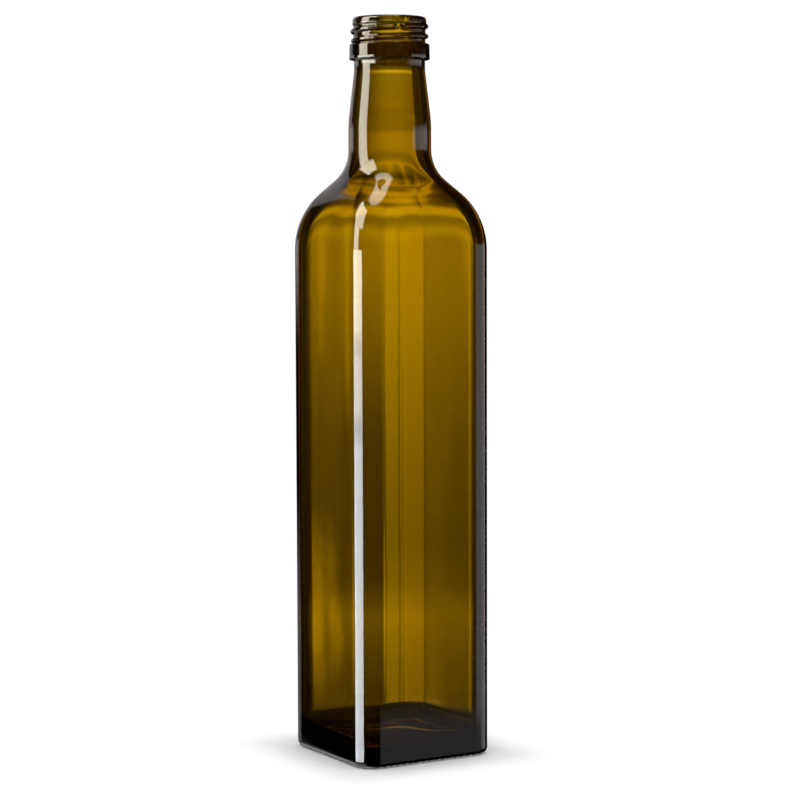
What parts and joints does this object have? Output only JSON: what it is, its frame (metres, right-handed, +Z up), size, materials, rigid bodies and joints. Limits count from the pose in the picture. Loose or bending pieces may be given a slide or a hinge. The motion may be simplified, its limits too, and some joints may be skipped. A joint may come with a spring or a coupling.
{
  "type": "square glass bottle",
  "caption": "Tall square bottle of olive amber glass with rounded corners, a round tapering neck and an open screw mouth, for liqueur or oil.",
  "frame": {"origin": "centre of the base, on the surface that the bottle stands on", "axes": "+Z up through the mouth, +X and +Y square to the flat faces"},
  "size_m": [0.0558, 0.0558, 0.27],
  "materials": {
    "glass": "gloss"
  },
  "bodies": {
    "root": {"bottle": "glass"}
  },
  "joints": []
}
